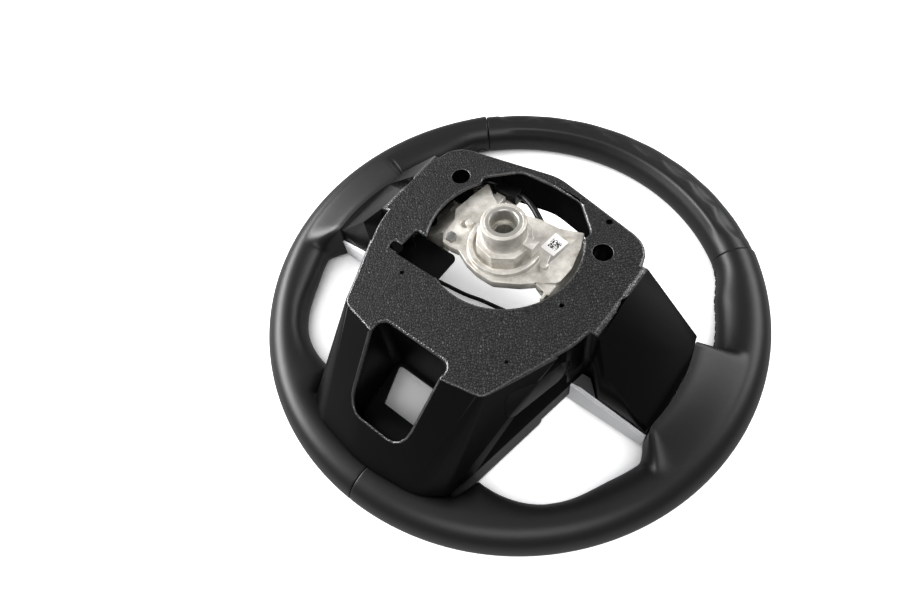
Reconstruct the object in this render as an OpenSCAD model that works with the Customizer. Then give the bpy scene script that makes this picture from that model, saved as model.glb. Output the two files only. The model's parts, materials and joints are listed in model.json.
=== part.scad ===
// Leather-covered car steering wheel, lying on the front of its rim, seen from the column side.
// The origin is on the steering axis, in the plane that the rim rests on. +Z points to the
// steering column, +Y to the top of the wheel. Left and right are the driver's, so left is +X.

/* [Rim] */
// Outer diameter of the rim
rim_d = 375; // [350:1:400]
// Thickness of the round rim, over its leather
rim_t = 30; // [26:0.5:34]
// Thickness of the leather
leather_t = 1.4; // [1:0.1:2]
// Radius of the steel bar inside the rim
bar_r = 5; // [4:0.5:6]
// Number of finger hollows on the back of the top of the rim
grips = 8; // [4:1:10]
// Depth of a finger hollow
grip_depth = 2.4; // [0:0.2:3]
// Angle of the right leather seam from +X
seam_right = 132; // [126:1:140]
// Angle of the left leather seam from +X
seam_left = 46; // [40:1:54]
// Angle of the lower leather seam from +X
seam_low = -88; // [-92:1:-84]

/* [Spoke roots] */
// Radius at which the leather ends on a spoke, at the middle of the spoke
root_r = 139.5; // [136:0.5:142]
// Change of that radius from the middle to the edge of a spoke
root_skew = 3.5; // [0:0.5:5]
// Height of the leather at its end on a spoke, above the middle of the rim
root_up = 24; // [18:1:28]
// Depth of the leather at its end on a spoke, below the middle of the rim
root_down = 9; // [6:0.5:12]

/* [Back cover] */
// Height of the cover's face above the rest plane
face_z = 91.3; // [84:0.1:98]
// Wall of the back cover
wall = 2.6; // [2:0.1:3.5]
// Depth of the cover's upper rim below its face
skirt = 40; // [30:1:46]
// Radius of the hub opening
opening_r = 52.3; // [48:0.1:54]
// Radius of the two release holes
release_r = 6.5; // [4:0.1:8]
// Half distance between the release holes
release_x = 58.5; // [57:0.1:62]
// Height of the release holes above the axis
release_y = 27; // [22:0.5:32]
// Half width of the hole in the lower spoke at its upper end
window_x = 28.5; // [24:0.5:32]
// Half width of the hole in the lower spoke at its lower end
window_x2 = 22.5; // [18:0.5:26]
// Upper end of the hole in the lower spoke
window_y = -93.5; // [-96:0.5:-90]
// Lower end of the hole in the lower spoke
window_y2 = -145; // [-148:0.5:-138]

/* [Hub] */
// Height of the hub above the rest plane
hub_z = 110.6; // [104:0.1:116]
// Outer radius of the hub
hub_r = 15.1; // [14:0.1:17]
// Outer radius of the steel insert in the hub
insert_r = 12.2; // [11:0.1:13]
// Radius of the smooth bore that the column enters
bore_r = 9; // [8:0.1:10]
// Depth of the smooth bore
bore_depth = 12; // [8:0.5:16]
// Radius of the splined hole at the tips of its teeth
spline_r = 6.4; // [5.5:0.1:7]
// Depth of a spline tooth
tooth = 0.8; // [0.4:0.1:1]
// Number of spline teeth
teeth = 36; // [24:1:40]
// Height of the top of the hub plate above the rest plane
plate_z = 83; // [80:0.5:85]
// Thickness of the cast plate and arms
cast_t = 7; // [5:0.5:9]

/* [Switches] */
// Travel of a push button
press = 0.8; // [0.4:0.1:1.2]
// Gap round a moving button
button_gap = 0.4; // [0.3:0.05:0.6]
// Distance of the middle of a switch from the axis
switch_x = 104; // [100:0.5:108]
// Height of the middle of a switch above the axis
switch_y = -2; // [-6:0.5:2]

/* [Hidden] */
$fn = 48;

mid = rim_t / 2;
ring_r = (rim_d - rim_t) / 2;
skin_gap = 0.2;
seam_gap = 0.4;
lean = 0.205;

// Plain vector helpers
function unit(v) = v / norm(v);
function turn(v) = [v.y, -v.x];
function ease(t) = let (c = max(0, min(1, t))) c * c * (3 - 2 * c);

// An arc of radius r between the edges a-b and b-c, for the corner b
function fillet(a, b, c, r, n) =
    let (u = unit(a - b), w = unit(c - b))
    let (half = acos(max(-1, min(1, u * w))) / 2)
    let (mid_p = b + unit(u + w) * r / sin(half), p = b + u * r / tan(half), q = b + w * r / tan(half))
    let (a0 = atan2(p.y - mid_p.y, p.x - mid_p.x), a1 = atan2(q.y - mid_p.y, q.x - mid_p.x))
    let (sweep = a1 - a0 > 180 ? a1 - a0 - 360 : a1 - a0 < -180 ? a1 - a0 + 360 : a1 - a0)
    [for (i = [0:n]) mid_p + r * [cos(a0 + sweep * i / n), sin(a0 + sweep * i / n)]];

// A list of corners [x, y, radius] as an outline with round corners
function rounded(pts, n = 4) = let (m = len(pts)) [for (i = [0:m - 1])
    let (a = pts[(i + m - 1) % m], b = pts[i], c = pts[(i + 1) % m])
    each b[2] > 0.05 ? fillet([a.x, a.y], [b.x, b.y], [c.x, c.y], b[2], n) : [[b.x, b.y]]];

// The right half of an outline, run clockwise, joined to its mirror image
function both(half) = concat(half, [for (i = [len(half) - 1:-1:0])
    if (half[i].x > 0.01) [-half[i].x, half[i].y, half[i][2]]]);

// The same corners moved inwards by d, for an outline that runs clockwise
function inset(pts, d) = let (m = len(pts)) [for (i = [0:m - 1])
    let (a = pts[(i + m - 1) % m], b = pts[i], c = pts[(i + 1) % m])
    let (n1 = turn(unit([b.x - a.x, b.y - a.y])), n2 = turn(unit([c.x - b.x, c.y - b.y])))
    let (p = [b.x, b.y] + (n1 + n2) * d / (1 + n1 * n2)) [p.x, p.y, max(0, b[2] - d)]];

module slab(pts, low, high) {
    translate([0, 0, low])
        linear_extrude(height = high - low)
            polygon(rounded(pts));
}

// A plate that is pts in plan and profile [across, up] from one side
module cut_to(plan, profile, along_x = true) {
    span = 400;
    intersection() {
        translate([0, 0, -span / 2])
            linear_extrude(height = span)
                polygon(plan);
        if (along_x) {
            rotate([90, 0, 0])
                translate([0, 0, -span / 2])
                    linear_extrude(height = span)
                        polygon(profile);
        } else {
            rotate([90, 0, 90])
                translate([0, 0, -span / 2])
                    linear_extrude(height = span)
                        polygon(profile);
        }
    }
}

module sides() {
    children();
    mirror([1, 0, 0])
        children();
}

// Rim: one section, swept round the axis

section_n = 20;
grip_span = seam_right - seam_left - 8;
grip_rings = 4;
root_rings = [-26, -22, -19.5, -17, -14.5, -10, -5, 0, 5, 10, 13.5, 14.6, 15.7, 17, 20, 27, 35];

// Angle above (or, negative, below) the middle of the nearer spoke
function rise_of(angle) = asin(sin(angle));

// How far a section at this angle has turned into the end of a spoke, 0 to 1
function rooted(angle) = let (a = rise_of(angle))
    a > 0 ? 1 - ease((a - 13.8) / 3.4) : 1 - ease((-a - 14) / 7);

// Extra width on the inside of the rim, as a rest for the thumb
function thumb(angle) = let (a = rise_of(angle))
    a > 0 ? 6 * ease((44 - a) / 12) : 3.5 * ease((42 + a) / 14);

// Extra width on the inside of the rim where it runs up to the lower spoke
foot_from = 44.5;
foot_peak = 61.8;
foot_to = 67;
foot_w = 14.5;
function foot(angle) = let (b = -rise_of(angle))
    b < foot_from || b > foot_to ? 0 :
    b < foot_peak ? foot_w * pow((b - foot_from) / (foot_peak - foot_from), 1.7) :
    foot_w * (foot_to - b) / (foot_to - foot_peak);

// Depth of the finger hollows at an angle round the wheel and an angle q round the section
function hollow(angle, q) =
    let (t = (angle - seam_left - 4) / grip_span * grips)
    t < 0 || t > grips ? 0 :
    let (across = max(0, 1 - abs(q - 62) / 52))
    grip_depth * pow(sin(180 * (t - floor(t))), 2) * ease(across);

// Radius at which the leather ends on a spoke
function root_end(angle) = root_r - root_skew * max(-1, min(1, rise_of(angle) / 15));

// One point of the section, as [radius, height], d inside the leather's surface
function section_point(angle, q, d) =
    let (r = mid - d - hollow(angle, q), w = rooted(angle))
    let (inner = max(0, -cos(q)), wide = (thumb(angle) + foot(angle)) * pow(inner, 2))
    let (plain = [ring_r + r * cos(q) - wide, r * sin(q)])
    let (reach = min(1, inner / cos(40)), blend = ease(reach * 1.3))
    let (rise = (sin(q) > 0 ? root_up - d : d - root_down) * min(1, abs(sin(q)) * 1.9))
    let (root = [ring_r + r * cos(q) + (root_end(angle) + d - ring_r + r * inner) * ease(reach),
        rise * blend + r * sin(q) * (1 - blend)])
    plain * (1 - w) + root * w;

function ring_points(angle, d, n) = [for (i = [0:n - 1])
    let (p = section_point(angle, 360 * i / n, d))
    [p.x * cos(angle), p.x * sin(angle), mid + p.y]];

// Angles of the rings once round from the bottom, close together at the hollows and the spokes
low_rings = [-90, -82, -75, -69, -67, -64.4, -61.8, -59, -56, -52, -48, -44, -38, -32];
base_rings = concat(low_rings, root_rings,
    [for (i = [0:grips * grip_rings]) seam_left + 4 + grip_span * i / (grips * grip_rings)],
    [for (i = [len(root_rings) - 1:-1:0]) 180 - root_rings[i]],
    [for (i = [len(low_rings) - 1:-1:1]) 180 - low_rings[i]]);

// The rings from one seam to the next, with half a gap at each seam
function panel_rings(a0, a1, gap = 0) = concat([a0 + gap / 2],
    [for (full = [-360, 0, 360], a = base_rings) if (a + full > a0 + 1 && a + full < a1 - 1) a + full],
    [a1 - gap / 2]);

// A closed skin between two depths below the surface, from angle a0 to a1
module rim_skin(a0, a1, d_out, d_in, n = section_n) {
    list = panel_rings(a0, a1, seam_gap / 2);
    m = len(list);
    outer = [for (a = list) each ring_points(a, d_out, n)];
    inner = [for (a = list) each ring_points(a, d_in, n)];
    k = m * n;
    tube = [for (i = [0:m - 2], j = [0:n - 1])
        let (a = i * n + j, b = i * n + (j + 1) % n) each [[a, a + n, b], [b, a + n, b + n]]];
    bore = [for (f = tube) [f[0] + k, f[2] + k, f[1] + k]];
    ends = [for (j = [0:n - 1]) let (a = j, b = (j + 1) % n, e = (m - 1) * n)
        each [[a, b, a + k], [b, b + k, a + k], [e + b, e + a, e + a + k], [e + b, e + a + k, e + b + k]]];
    polyhedron(points = concat(outer, inner), faces = concat(tube, bore, ends), convexity = 10);
}

// The same section as a closed ring, with no hollow inside
module rim_core(d, n = section_n) {
    panels = [[seam_low, seam_left], [seam_left, seam_right], [seam_right, seam_low + 360]];
    list = [for (p = panels) let (rings = panel_rings(p[0], p[1]))
        each [for (i = [0:len(rings) - 2]) rings[i]]];
    m = len(list);
    points = [for (a = list) each ring_points(a, d, n)];
    faces = [for (i = [0:m - 1], j = [0:n - 1])
        let (a = i * n + j, b = i * n + (j + 1) % n, c = ((i + 1) % m) * n)
        each [[a, c + j, b], [b, c + j, c + (j + 1) % n]]];
    polyhedron(points = points, faces = faces, convexity = 10);
}

module rim_bar(r) {
    translate([0, 0, mid])
        rotate_extrude()
            translate([ring_r, 0])
                circle(r = r);
}

// Slots where the cast arms and legs pass into the rim
module arm_slots(gap) {
    sides() {
        cut_to(arm_plan(gap), arm_side(gap));
        cut_to(leg_plan(gap), leg_side(gap), false);
    }
}

module leather(a0, a1) {
    color("#232323")
        difference() {
            rim_skin(a0, a1, 0, leather_t);
            arm_slots(1);
        }
}

module leather_top() {
    leather(seam_left, seam_right);
}

module leather_left() {
    leather(seam_low, seam_left);
}

module leather_right() {
    leather(seam_right, seam_low + 360);
}

module rim_foam() {
    color("#3c3b38")
        difference() {
            rim_core(leather_t + skin_gap);
            rim_bar(bar_r + skin_gap);
            arm_slots(skin_gap);
        }
}

// Steel bar, bent to a ring, that the armature's arms and legs are cast round
module rim_insert() {
    color("#8a8c8e")
        rim_bar(bar_r);
}

// Armature: one casting of hub plate, arms and legs

arm_w = 22;
cast_gap = 0.05;
clasp = 3;
arm_end_t = 2 * (bar_r + clasp);
arm_out = ring_r + bar_r + clasp;
leg_x = 38;
leg_w = 13;
leg_end = -146;
leg_t = 8;
leg_out = sqrt(ring_r * ring_r - leg_x * leg_x) + bar_r + clasp;
leg_clasp = 14 - leg_out;
lug_r = 8;
pin_hole_r = 4.2;
collar_z = plate_z + 12;

lug_low = 48;
lug_top = 64;
plate_plan = [[-43, 38.5, 1.5], [-33, 31, 6], [-25, 26.5, 5], [-10, 28, 8], [8, 32.3, 10], [22, 33, 6],
    [38, 39, 1.5], [43, 27, 5], [46.8, 10, 6], [46, -4, 5], [36, -10.5, 3], [26, -19, 6], [10, -28, 8],
    [-3, -27.8, 8], [-13.5, -25.5, 4], [-24, -20.6, 3], [-30, -21.5, 2], [-38, -21, 3], [-42.8, -14.5, 3],
    [-43, -2, 4], [-48, 6, 2], [-46.3, 20, 10]];
pad_plan = [[39, 28, 3], [39, 41, 4], [44, 44, 4], [56, 44, 4], [61, 36, 3], [61, 28, 3]];

// Radius halfway from a spoke to the bar, and the end of the cast arms' steep part
arm_bend = root_r - 8;
arm_mid = arm_bend + 0.55 * (ring_r - arm_bend);

// Arms and legs in plan and from the side, g larger all round
function arm_plan(g) = [[34, -13 - g], [52, -16 - g], [70, -14 - g], [100, -12 - g],
    [arm_bend, -arm_w / 2 - g], [arm_out + g, -arm_w / 2 - g], [arm_out + g, arm_w / 2 + g],
    [arm_bend, arm_w / 2 + g], [100, 15 + g], [76, 24 + g], [66, 34 + g], [52, 35 + g], [36, 31 + g]];
function arm_side(g) = [[34, plate_z + g], [45, plate_z - 2 + g], [54, 71 + g], [72, 55 + g], [100, 41 + g],
    [arm_bend, mid + 18 + g], [arm_mid, mid + 9 + g], [arm_out + g, mid + arm_end_t / 2 + g],
    [arm_out + g, mid - arm_end_t / 2 - g], [arm_mid + 8, mid - arm_end_t / 2 - g],
    [arm_mid - 2, mid + 1 - g], [arm_bend - 2, mid + 10 - g], [98, 33 - g],
    [68, 46 - g], [51, 56 - g], [43, 70 - g], [34, plate_z - cast_t - g]];
function leg_plan(g) = [[46 - g, -4], [68 + g, -4], [66 + g, -40], [56 + g, -100],
    [leg_x + leg_w / 2 + g, leg_end], [leg_x + leg_w / 2 + g, -leg_out - g],
    [leg_x - leg_w / 2 - g, -leg_out - g],
    [leg_x - leg_w / 2 - g, leg_end], [40 - g, -100], [48 - g, -40]];
function leg_side(g) = [[-4, 62 + g], [-20, 54 + g], [-60, 39 + g], [-120, mid + leg_t / 2 + g],
    [leg_clasp + 4, mid + leg_t / 2 + g], [leg_clasp, mid + arm_end_t / 2 + g],
    [-leg_out - g, mid + arm_end_t / 2 + g], [-leg_out - g, mid - arm_end_t / 2 - g],
    [leg_clasp, mid - arm_end_t / 2 - g], [leg_clasp + 4, mid - leg_t / 2 - g], [-118, mid - leg_t / 2 - g],
    [-60, 30 - g], [-20, 45 - g], [-4, 52 - g]];

module arm_rib(y0, y1, x0, x1) {
    intersection() {
        cut_to(arm_plan(0), [for (p = arm_side(0)) [p.x, p.y - 5]]);
        hull() {
            translate([x0, y0, 0])
                cube([1, 3, plate_z]);
            translate([x1, y1, 0])
                cube([1, 3, plate_z]);
        }
    }
}

module armature() {
    color("#c9c5bd")
        difference() {
            union() {
                slab(plate_plan, plate_z - cast_t, plate_z);
                translate([0, 0, plate_z - cast_t])
                    cylinder(r = hub_r, h = hub_z - plate_z + cast_t);
                translate([0, 0, plate_z - cast_t])
                    rotate([0, 0, 10])
                        cylinder(r = 20, h = collar_z - plate_z + cast_t, $fn = 8);
                translate([0, 0, plate_z - cast_t])
                    rotate_extrude(angle = 200, start = 170)
                        translate([21.5, 0])
                            square([4, cast_t + 4]);
                sides() {
                    cut_to(arm_plan(0), arm_side(0));
                    arm_rib(-13, -11, 48, 112);
                    arm_rib(27, 8, 48, 112);
                    cut_to(leg_plan(0), leg_side(0), false);
                    translate([release_x, release_y, lug_low])
                        cylinder(r = lug_r, h = lug_top - lug_low);
                    slab(pad_plan, lug_top - 0.8, lug_top + 3.2);
                    translate([31, 1, plate_z - cast_t])
                        cylinder(r = 3, h = cast_t + 3);
                }
                translate([13, -1, collar_z - 6])
                    cube([10, 8, 9]);
                translate([41.5, -19.5, plate_z - 26])
                    cube([2.4, 8, 24]);
                translate([plug_seat.x, plug_seat.y, plug_seat.z - 1])
                    cube([19, 13, 2], center = true);
                translate([-36, 29, plug_seat.z - 2])
                    cube([8, 10.2, 6.5]);
            }
            rim_bar(bar_r + cast_gap);
            translate([0, 0, plate_z - cast_t - 1])
                cylinder(r = insert_r, h = hub_z);
            sides() {
                translate([release_x, release_y, 30])
                    cylinder(r = pin_hole_r, h = 50);
                translate([release_x, release_y, lug_top])
                    rotate([0, 0, spring_turn])
                        translate([-8, -14, 0])
                            cube([16, 22.5, plate_z]);
                for (i = [0, 1]) {
                    translate([screw_places[i].x, screw_places[i].y, 0])
                        cylinder(r = screw_r + 0.3, h = plate_z);
                    translate([screw_places[i].x, screw_places[i].y, 0])
                        cylinder(r = screw_head_r + 0.4, h = screw_seats[i]);
                }
            }
            translate([-34, 0, plate_z - 4])
                cylinder(r1 = 1.6, r2 = 3.6, h = 4.01);
            translate([earth_at.x, earth_at.y, plate_z - 5])
                cylinder(r = 2.1, h = 20);
        }
}

module splined(r, depth, low, high) {
    translate([0, 0, low])
        linear_extrude(height = high - low)
            polygon([for (i = [0:teeth - 1], k = [0:3])
                let (a = 360 / teeth * (i + [0.08, 0.42, 0.58, 0.92][k]), rr = k == 1 || k == 2 ? r : r + depth)
                [rr * cos(a), rr * sin(a)]]);
}

module hub_insert() {
    low = plate_z - cast_t;
    color("#8f9194")
        difference() {
            translate([0, 0, low])
                cylinder(r = insert_r, h = hub_z - low);
            translate([0, 0, hub_z - bore_depth])
                cylinder(r = bore_r, h = bore_depth + 1);
            splined(spline_r, tooth, low - 1, hub_z);
            translate([0, 0, hub_z - 0.8])
                cylinder(r1 = bore_r, r2 = bore_r + 1, h = 1);
        }
}

// Back cover

face_half = [[0, 65, 40], [81.5, 65 - 81.5 * lean, 20], [87.5, 3, 60], [81, -38, 60], [56.5, -99.5, 8],
    [22, -106.5, 0]];
low_face = [[56.2, -99.2, 8], [22, -106.2, 0]];
base_half = [[81, -36, 0], [65.6, -125.5, 12], [60, -147, 14], [44, -160.5, 30], [0, -167, 100]];
base_z = mid + 14;
base_low = mid - 3;
spoke_top = 34.5;
spoke_rise = 2;
spoke_low = -37;
corner_x = 101;
corner_y = -26;

// The line on which a spoke's cover meets the leather
function seam_line(d, y) = let (r = root_end(asin(y / root_r)) - d) [sqrt(r * r - y * y), y];
function spoke_plan(d) = concat([[60, spoke_top - spoke_rise - d]], [[84, spoke_top - spoke_rise - d]],
    [for (i = [0:6]) seam_line(seam_gap + d, spoke_top - d - (spoke_top - spoke_low - 2 * d) * i / 6)],
    [[corner_x + d, spoke_low + d], [corner_x - 11 + d, corner_y + d], [60, corner_y + d]]);
function spoke_side(d, low) = [[60, face_z - d], [86.5, face_z - d], [root_r - 4 + d * 0.4, mid + root_up - d],
    [root_r + 8, mid + root_up - d], [root_r + 8, low], [60, low]];

// The end of a flank, between the lower edge of a spoke and the lower spoke
flank_top = -20;
function flank_x(y) = base_half[0].x + (y - base_half[0].y) * (base_half[0].x - base_half[1].x)
    / (base_half[0].y - base_half[1].y);
flank_step = 0.3;
function flank_plan(d) = let (low = base_half[0].y - 6) [[61, flank_top],
    [flank_x(flank_top) - flank_step - d, flank_top], [flank_x(low) - flank_step - d, low], [61, low]];

// The cover's form, d inside its outer surface, down to the height low
module cover_form(d, low) {
    slab(inset(both(face_half), d), d > 0 ? low : face_z - skirt, face_z - d);
    sides() {
        cut_to(spoke_plan(d), spoke_side(d, low));
        translate([0, 0, low])
            linear_extrude(height = face_z - skirt + 6 - low)
                polygon(flank_plan(d));
    }
    hull() {
        slab(inset(both(concat([[0, -60, 0], [76, -52, 0]], low_face)), d),
            face_z - d - 1, face_z - d);
        slab(inset(both(concat([[0, -36, 0]], base_half)), d), low, base_z - d);
    }
}

function window(d) = [[window_x + d, window_y + d, 6], [window_x2 + d, window_y2 - d, 12],
    [-window_x2 - d, window_y2 - d, 12], [-window_x - d, window_y + d, 6]];

module hub_hole() {
    translate([0, -1, face_z - 12])
        cylinder(r = opening_r, h = 40);
    slab(both([[0, 55.5, 0], [24, 54, 10], [44, 36, 6], [40, 20, 0], [0, 20, 0]]), face_z - 12, face_z + 20);
    slab([[-55, -28, 2], [-20, -28, 0], [-20, -50, 0], [-55, -50, 2]], face_z - 12, face_z + 20);
    slab([[-62, -43, 2], [-50, -43, 0], [-50, -49, 0], [-62, -49, 2]], face_z - 12, face_z + 20);
}

// Screws: place in plan, lower end of the cover's boss, and the seat of the screw's head
screw_places = [[66, -3, 65], [50, -84, 33.4]];
screw_seats = [48.5, 24.5];
screw_r = 2;
screw_head_r = 4;
screw_length = 24;

// The plug in a flank is cut from a prism that stands square to the flank's plan
plug_size = [52, 23];
plug_corner = 8;
plug_at = [70, -65, 68];
plug_turn = -22;
plug_tilt = -12;
plug_t = 1.4;
module plug_prism(grow) {
    half = plug_size / 2 + [grow, grow];
    translate(plug_at)
        rotate([90, 0, 90 + plug_turn])
            rotate([0, 0, plug_tilt])
                slab([for (c = [[-1, 1], [1, 1], [1, -1], [-1, -1]])
                    [c.x * half.x, c.y * half.y, plug_corner + grow]], -5, 30);
}

module back_cover() {
    color("#1b1b1c")
        difference() {
            union() {
                difference() {
                    cover_form(0, base_low);
                    cover_form(wall, -20);
                }
                intersection() {
                    cover_form(0, base_low);
                    slab(window(wall), mid + 12, face_z + 5);
                }
                intersection() {
                    cover_form(0, base_low);
                    sides()
                        for (s = screw_places)
                            translate([s.x, s.y, s.z])
                                cylinder(r = 4.5, h = face_z);
                }
            }
            slab(window(0), 0, face_z + 10);
            hub_hole();
            sides() {
                translate([release_x, release_y, face_z - 10])
                    cylinder(r = release_r, h = 20);
                for (s = screw_places)
                    translate([s.x, s.y, s.z - 1])
                        cylinder(r = screw_r + 0.1, h = 17);
                difference() {
                    plug_prism(0.3);
                    cover_form(plug_t, -20);
                }
            }
            for (p = [[-40, -60, 1.5], [59, -21, 1.5], [54, -72, 1.2], [49, 50, 2.2]])
                translate([p.x, p.y, face_z - 1.8])
                    cylinder(r = p[2], h = 20);
            rim_bar(mid + 0.4);
            arm_slots(0.6);
        }
}

module side_plug() {
    color("#1e1e1f")
        intersection() {
            difference() {
                plug_prism(0);
                cover_form(plug_t, -20);
            }
            cover_form(0, base_low);
        }
}

module side_plug_left() {
    side_plug();
}

module side_plug_right() {
    mirror([1, 0, 0])
        side_plug();
}

bracket_z = plate_z - cast_t - 2.4;
module lead_bracket() {
    color("#262626")
        union() {
            slab([[-61, -22, 2], [-25, -22, 4], [-25, -49, 3], [-33, -58, 2], [-61, -58, 2]],
                bracket_z, bracket_z + 2);
            for (p = [[-58, -32], [-50, -54.5]])
                translate([p.x, p.y, bracket_z + 1])
                    cylinder(r = 2.5, h = face_z - wall - bracket_z - 1);
        }
}

// Driver's side: bezels, silver trims and switches

bezel_z = mid - 9;
bezel_t = 2.4;
trim_w = 3.2;
panel = [44, 40];
button = [17, 9];
button_h = 6;
button_x = 7;
button_y = 9;
rocker = [9, 24];
pivot_r = 1.2;

trim_t = 1.5;
trim_low = spoke_low - 0.4 - trim_t;
web_z = mid + 15.6;
web_gap = 1;
function web_plan(low) = [[flank_x(low) + 0.5, low], [flank_x(corner_y) + 0.5, corner_y - web_gap],
    [corner_x - 11 - web_gap / 2, corner_y - web_gap], [corner_x - 1.5 * web_gap + spoke_low - low, low]];
strip_left = flank_x(trim_low) + 0.4;
strip_side = [[strip_left, bezel_z], [138.4, bezel_z], [138.4, mid + 9], [88, mid + 18.2],
    [strip_left, mid + 16]];
strip_groove = [[strip_left - 1, mid + 15.8], [88, mid + 15.6], [139, mid + 6.4], [139, mid + 5.5],
    [88, mid + 14.7], [strip_left - 1, mid + 14.9]];

function bezel_plan(d) = concat([[78, spoke_top - spoke_rise - d]],
    [for (i = [0:6]) seam_line(seam_gap + d, spoke_top - d - (spoke_top - trim_low - 2 * d) * i / 6)],
    [[78, trim_low + d]]);

module spoke_bezel() {
    color("#202021")
        difference() {
            union() {
                translate([0, 0, bezel_z])
                    linear_extrude(height = bezel_t)
                        polygon(bezel_plan(trim_w + 0.1));
                translate([0, 0, bezel_z])
                    linear_extrude(height = base_low + 0.4 - bezel_z)
                        polygon(web_plan(trim_low + trim_w + 0.1));
                translate([0, 0, base_low + 0.2])
                    linear_extrude(height = web_z - base_low - 0.2)
                        polygon(web_plan(spoke_low - 0.1));
            }
            translate([switch_x, switch_y, 0])
                cube([panel.x + 0.4, panel.y + 0.4, 100], center = true);
        }
}

module spoke_bezel_left() {
    spoke_bezel();
}

module spoke_bezel_right() {
    mirror([1, 0, 0])
        spoke_bezel();
}

module spoke_trim() {
    color("#c3c5c8")
        union() {
            difference() {
                translate([0, 0, bezel_z])
                    linear_extrude(height = base_low - bezel_z)
                        polygon(bezel_plan(0));
                translate([0, 0, bezel_z - 1])
                    linear_extrude(height = 20)
                        polygon(bezel_plan(trim_w));
            }
            difference() {
                translate([0, trim_low + trim_t, 0])
                    rotate([90, 0, 0])
                        linear_extrude(height = trim_t)
                            polygon(strip_side);
                translate([0, trim_low + 0.5, 0])
                    rotate([90, 0, 0])
                        linear_extrude(height = 2)
                            polygon(strip_groove);
            }
        }
}

module spoke_trim_left() {
    spoke_trim();
}

module spoke_trim_right() {
    mirror([1, 0, 0])
        spoke_trim();
}

// The hole in the lower spoke: a ledge inside it, and its wider mouth on the driver's side
ledge = [[26, -95.5, 2], [15.5, -124.5, 2], [-15.5, -124.5, 2], [-26, -95.5, 2]];
function funnel(d) = [[38 + d, -85 + d, 5], [27 + d, -130 - d, 8], [-27 - d, -130 - d, 8],
    [-38 - d, -85 + d, 5]];
module lower_spoke_bezel() {
    top = -60;
    outline = both([[0, top, 0], [flank_x(top), top, 6], base_half[1], base_half[2], [48, -151, 10],
        [0, -156, 0]]);
    color("#17171a")
        difference() {
            union() {
                difference() {
                    slab(outline, bezel_z, base_low);
                    slab(inset(outline, 2.2), bezel_z + bezel_t, base_low + 1);
                }
                hull() {
                    slab(funnel(2), bezel_z, bezel_z + 1);
                    slab(window(-0.3), mid + 9, mid + 11.6);
                }
            }
            hull() {
                slab(funnel(0), bezel_z - 2, bezel_z - 1);
                slab(ledge, mid + 8, mid + 9.4);
            }
            slab(ledge, mid, mid + 20);
            rim_bar(mid + 0.4);
            arm_slots(0.6);
        }
}

module switch_box() {
    color("#2b2b2d")
        difference() {
            translate([switch_x, switch_y, bezel_z + 9])
                cube([panel.x, panel.y, 18], center = true);
            for (s = [-1, 1])
                translate([switch_x + button_x, switch_y + s * button_y, bezel_z])
                    cube([button.x + 2 * button_gap, button.y + 2 * button_gap, 12], center = true);
            translate([switch_x - 11, switch_y, bezel_z])
                cube([rocker.x + 2 * button_gap, rocker.y + 2 * button_gap, 16], center = true);
            translate([switch_x - 11, switch_y, bezel_z + 1])
                rotate([0, 90, 0])
                    cylinder(r = pivot_r + 0.05, h = rocker.x + 5, center = true);
        }
}

module switch_housing_left() {
    switch_box();
}

module switch_housing_right() {
    mirror([1, 0, 0])
        switch_box();
}

module push_button(s) {
    color("#3a3a3c")
        translate([switch_x + button_x, switch_y + s * button_y, bezel_z - press - 0.2 + button_h / 2])
            cube([button.x, button.y, button_h], center = true);
}

module rocker_key() {
    color("#3a3a3c")
        translate([switch_x - 11, switch_y, bezel_z + 1])
            rotate([0, 90, 0])
                union() {
                    intersection() {
                        cylinder(r = 13, h = rocker.x, center = true);
                        cube([8, rocker.y - 0.6, rocker.x], center = true);
                    }
                    cylinder(r = pivot_r, h = rocker.x + 4.4, center = true);
                }
}

module rocker_left() {
    rocker_key();
}

module rocker_right() {
    mirror([1, 0, 0])
        rocker_key();
}

module upper_button_left() {
    push_button(1);
}

module upper_button_right() {
    mirror([1, 0, 0])
        push_button(1);
}

module lower_button_left() {
    push_button(-1);
}

module lower_button_right() {
    mirror([1, 0, 0])
        push_button(-1);
}

// Small parts inside

spring_wire = 1;
spring_turn = 20;
plug_seat = [-29, 45, plate_z - 11];
earth_at = [-34.5, -15.5];

module clip_spring() {
    bend = 5.4;
    route = concat([[bend, -7, 0], [bend, -3, 0]], [for (a = [0:20:180]) [bend * cos(a), bend * sin(a), 0]],
        [[-bend, -4, 0], [-bend, -8, 0], [-bend, -12, 0]]);
    color("#a9abae")
        translate([release_x, release_y, lug_top + spring_wire])
            rotate([0, 0, spring_turn])
                wire(route, spring_wire);
}

module clip_spring_left() {
    clip_spring();
}

module clip_spring_right() {
    mirror([1, 0, 0])
        clip_spring();
}

module cover_screws() {
    color("#6e7175")
        sides() {
            for (i = [0, 1])
                translate([screw_places[i].x, screw_places[i].y, screw_seats[i]]) {
                    translate([0, 0, -2.6])
                        cylinder(r = screw_head_r, h = 2.6);
                    cylinder(r = screw_r, h = screw_length);
                }
        }
}

module earth_screw() {
    color("#b9b2a0")
        union() {
            translate([earth_at.x, earth_at.y, plate_z - 4.8])
                cylinder(r = 2, h = 7);
            translate([earth_at.x, earth_at.y, plate_z])
                cylinder(r = 4, h = 3, $fn = 6);
        }
}

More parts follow.
